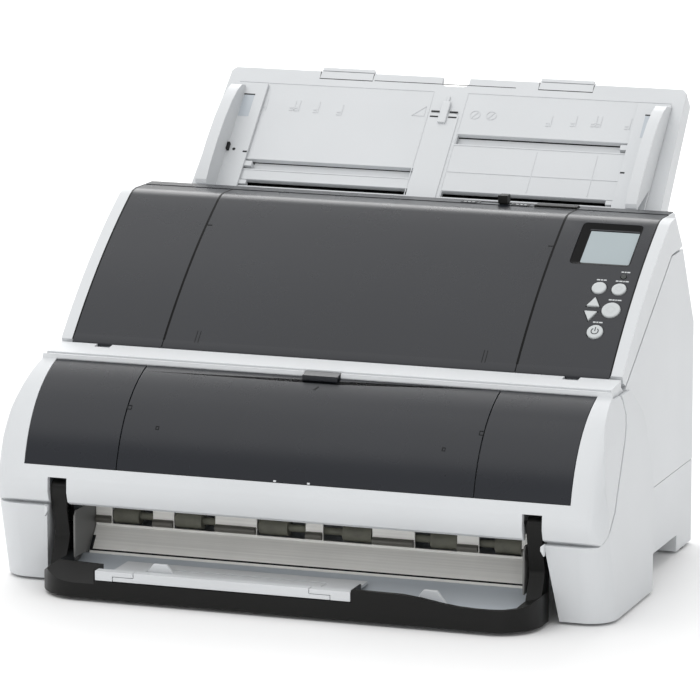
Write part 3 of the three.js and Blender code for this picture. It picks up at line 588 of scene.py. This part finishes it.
def frame_lines():
    """Fine raised lines that divide the chute's face."""
    lines = Build()
    for x0, x1, t in ((-153, -13, FRAME_T), (11, 153, FRAME_T), (12, 134, -52.0)):
        lines.prism(rect(x0, x1, *about(t, 0.35)), on_chute, -0.3, 0.35)
    for x, t0, t1 in ((RIB_X[0], -112, 14.7), (RIB_X[1], -112, 14.7), (-FIELD_X, -66, -20),
                      (FIELD_X, -66, -20), (70.0, -66, -32), (112.0, -66, -32)):
        lines.prism(rect(*about(x, 0.3), t0, t1), on_chute, -0.3, 0.3)
    lines.done("chute_frame_lines", "base", WHITE, bevel=0.12)


def dark_gaps():
    """The gaps round the extension's two tabs, the line between them, and the slits beside the clip."""
    gaps = Build()
    for side in SIDES.values():
        gaps.band([(side * x, t) for x, t in TAB_GAP], 0.6, on_chute, -0.2, 0.06)
    gaps.prism(rect(-57.5, 43.0, 20.6, 21.1), on_chute, -0.2, 0.05)
    for x in (-8.0, 5.0):
        for t in (-3.0, -7.4):
            gaps.prism(rect(*about(x, 2.9), *about(t, 0.55)), on_chute, 0.7, 1.05)
    gaps.done("chute_dark_gaps", "base", INNER)


def size_marks():
    """Raised marks for the sheet widths, two crossed-out circles and a corner sign, without lettering."""
    marks = Build()
    low, high = -0.2, 0.3
    for side in SIDES.values():
        for x, t in SIZE_MARKS:
            marks.prism(rect(*about(side * x, 0.3), t - 9.0, t), on_chute, low, high)
            for t0, t1 in ((t - 9.0, t - 7.9), (t - 6.9, t - 6.0)):
                marks.prism(rect(side * x - 3.4, side * x - 1.0, t0, t1), on_chute, low, high)
    for x in (20.0, 31.5):
        marks.band(circle(x, CIRCLE_T, CIRCLE_R, 24), 0.5, on_chute, low, high, closed=True)
        stroke = [(x - 1.8, -5.6), (x - 1.3, -6.0), (x + 1.8, -1.7), (x + 1.3, -1.3)]
        marks.prism(stroke, on_chute, low, high)
    corner_sign = [(-24.0, -7.0), (-15.4, -7.0), (-15.4, 1.4)]
    marks.band(corner_sign, 0.5, on_chute, low, high, closed=True)
    marks.done("chute_size_marks", "base", MARK)


def slot_dressing():
    """A near-black sheet behind the slots, painted shade that makes them look dark inside, and a raised rim
    round each.
    """
    # Painted shade: a near-black sheet behind the chute, so that the slots look dark and deep.
    slot_shade_sheet = Build().prism(rect(-155, 155, -84, 10), on_chute, -8.4, -8.1)
    slot_shade_sheet.done("chute_slot_painted_shade", "base", SEAM_AND_PAINTED_SHADE_BLACK)
    rims = Build()
    for x0, x1, t0, t1 in SLOTS:
        outline = rect(x0 - RIM_OUT, x1 + RIM_OUT, t0 - RIM_OUT, t1 + RIM_OUT)
        rims.band(outline, RIM_WIDTH, on_chute, -0.4, 0.35, closed=True)
    rims.done("chute_slot_rims", "base", WHITE, bevel=0.12)


def middle_clip():
    """The clip on the middle rib: a broad body with a narrow tongue above it."""
    clip = Build()
    clip.prism(rect(-4.2, 1.4, -13.0, 5.0), on_chute, 0.6, 2.6)
    clip.prism(rect(-2.6, -0.4, 5.0, 10.5), on_chute, -0.2, 1.2)
    clip.done("chute_clip", "base", WHITE, bevel=0.7, segments=3)


frame_lines()
dark_gaps()
size_marks()
slot_dressing()
middle_clip()

# ---------- side guides ----------
GUIDE_FOOT = 2.5                                        # just under the top of a guide's foot plate
HOLE_TOP = 2.74
RACK_T = {"left": (-58.8, -51.3), "right": (-28.6, -21.2)}


def guide_dressing(tag, side):
    """The cover over a guide's rack, the grey window on its foot plate, and the dark holes round it."""
    body = "side_guide_" + tag
    cover = Build().prism(rect(*mirrored(side, 126.0, -13.8), *RACK_T[tag]), on_chute, -4.45, -4.05)
    cover.done(body + "_rack_cover", body, WHITE, bevel=0.1)
    window = Build().prism(rect(*mirrored(side, 138.2, 145.7), -17.0, 1.2), on_chute, GUIDE_FOOT, 2.72)
    window.done(body + "_window", body, TRAY)
    holes = Build()
    for outline, top in ((rect(*mirrored(side, 138.0, 145.8), 1.2, 2.3), HOLE_TOP),
                         (rect(*mirrored(side, 144.2, 145.9), -46.8, -41.2), 5.2),
                         (circle(side * 141.0, -45.2, 1.1, 16), HOLE_TOP),
                         (rect(*mirrored(side, 131.2, 134.2), -47.4, -46.2), HOLE_TOP)):
        holes.prism(outline, on_chute, GUIDE_FOOT, top)
    holes.done(body + "_holes", body, INNER)


for tag, side in SIDES.items():
    guide_dressing(tag, side)

# ---------- exit of the lower unit ----------
PLATE_END = 149.0
PLATE_WINDOWS = (5.9, 38.9, 67.2, 95.3, 109.8, 137.8)   # the windows' edges, on either side of the middle
FOLD_END = 148.6
FOLD = [(-126.9, 18.9), (-126.2, 19.7), (-125.7, 19.3), (-126.4, 18.5)]
END_LINE = [(-126.9, 19.5), (-120.4, 27.3), (-120.1, 27.0), (-126.6, 19.2)]
BAR_Y, BAR_Z, BAR_R = -115.0, 37.0, 2.5
CAVITY_WALL = [(-149.5, 18.7), (-149.5, 46.0), (-146.5, 49.5), (-131.0, 49.5), (-131.0, 53.6),
               (-113.0, 53.6), (-113.0, 33.0), (-127.0, 18.7)]
ARM_STOP = ((166.2, 46.6), (166.2, 54.6), (164.0, 53.0), (163.9, 50.4))


def fold_line():
    """Dark line along the fold of the exit plate and up both its ends."""
    fold = Build().prism(FOLD, across, -FOLD_END, FOLD_END)
    for side in SIDES.values():
        fold.prism(END_LINE, across, *mirrored(side, 148.8, 146.9))
    fold.done("exit_fold_line", "base", INNER)


def tie_bar():
    """A steel bar on the face of the exit plate, in stretches between its windows; its dark steel is partly
    the bar's own tone and partly painted shade for the dark strip between them.
    """
    edges = sorted(side * x for x in (*PLATE_WINDOWS, PLATE_END) for side in SIDES.values())
    bar = Build()
    for x0, x1 in zip(edges[::2], edges[1::2]):
        bar.prism(circle(BAR_Y, BAR_Z, BAR_R, 16), across, x0 + 0.4, x1 - 0.4)
    bar.done("exit_tie_bar", "base", BAR_STEEL, bevel=0.3)


def exit_end(tag, side):
    """One end of the exit: its inner wall and the small stop for the stacker's arm."""
    wall = Build().prism(CAVITY_WALL, across, *mirrored(side, 149.3, 150.7))
    wall.done("exit_side_wall_" + tag, "base", WALL, bevel=0.5)
    stop = Build().prism([(side * x, z) for x, z in ARM_STOP], upright, -160.2, -156.2)
    stop.done("arm_stop_" + tag, "base", WHITE, bevel=0.4, segments=3)


fold_line()
tie_bar()
for tag, side in SIDES.items():
    exit_end(tag, side)

# ---------- rear: screws, socket pins ----------
SCREWS = [(x, z) for x in (-168, 168) for z in (72, 135)]
HEAD_R, HEAD_Y = 3.2, (94.4, 95.4)
CROSS_ARM, CROSS_HALF, CROSS_Y = 2.0, 0.35, (95.2, 95.45)
INLET_PINS = ((-138.5, 33.5), (-131.5, 33.5), (-135.0, 37.5))


def rear_screws():
    """Round heads with crossed slots at the corners of the rear cover."""
    heads, crosses = Build(), Build()
    for x, z in SCREWS:
        heads.prism(circle(x, z, HEAD_R, 20), upright, *HEAD_Y)
        for half_x, half_z in ((CROSS_ARM, CROSS_HALF), (CROSS_HALF, CROSS_ARM)):
            crosses.prism(rect(*about(x, half_x), *about(z, half_z)), upright, *CROSS_Y)
    heads.done("rear_screws", "base", MOTOR, bevel=0.3)
    crosses.done("rear_screw_slots", "base", INNER)


def socket_pins():
    """The three pins of the power inlet and the tongue of the data port."""
    pins = Build()
    for x, z in INLET_PINS:
        pins.prism(rect(*about(x, 1.0), *about(z, 1.6)), upright, 87.6, 93.6)
    pins.prism(rect(125.6, 132.4, 34.0, 36.0), upright, 87.6, 93.0)
    pins.done("socket_pins", "base", MOTOR, bevel=0.2)


rear_screws()
socket_pins()


# ---------- studio: metres ----------
def light_at(name, kind, energy, direction, location=(0.0, 0.0, 0.0)):
    light = bpy.data.objects.new(name, bpy.data.lights.new(name, kind))
    light.data.energy = energy
    light.location = location
    light.rotation_euler = Vector(direction).to_track_quat("-Z", "Y").to_euler()
    bpy.context.scene.collection.objects.link(light)
    return light.data


def sun(name, direction, strength, angle):
    light_at(name, "SUN", strength, direction).angle = math.radians(angle)


def area_light(name, location, target, size, power):
    data = light_at(name, "AREA", power, Vector(target) - Vector(location), location)
    data.shape = "RECTANGLE"
    data.size, data.size_y = size


def floor():
    """A pale paper floor, far wider than the object."""
    mesh = bpy.data.meshes.new("floor")
    b = bmesh.new()
    bmesh.ops.create_grid(b, x_segments=1, y_segments=1, size=14.0)
    b.to_mesh(mesh)
    b.free()
    obj = bpy.data.objects.new("floor", mesh)
    bpy.context.scene.collection.objects.link(obj)
    s = Shader("floor_paper")
    s.link(s.blended(s.noise(3.0, 2.0), (0.90, 0.90, 0.90), (0.92, 0.92, 0.92)), "Base Color")
    s.link(s.ranged(s.noise(400.0), 0.85, 0.95), "Roughness")
    mesh.materials.append(s.material)


def sky(strength):
    world = bpy.data.worlds.new("studio")
    bpy.context.scene.world = world
    world.use_nodes = True
    background = world.node_tree.nodes["Background"]
    background.inputs["Color"].default_value = (1.0, 1.0, 1.0, 1.0)
    background.inputs["Strength"].default_value = strength


floor()
sky(strength=0.76)
sun("sky", direction=(0.25, 0.35, -1.0), strength=0.85, angle=60)
area_light("front", location=(0.6, -3.0, 0.5), target=(0, 0, 0.04), size=(2.4, 0.9), power=9)
area_light("back", location=(-0.9, 2.3, 1.75), target=(0, 0.05, 0.22), size=(3.2, 1.2), power=44)
area_light("top", location=(-0.8, 1.3, 2.4), target=(0, 0.05, 0.22), size=(2.6, 1.5), power=11)
bpy.context.scene.view_settings.view_transform = "Standard"
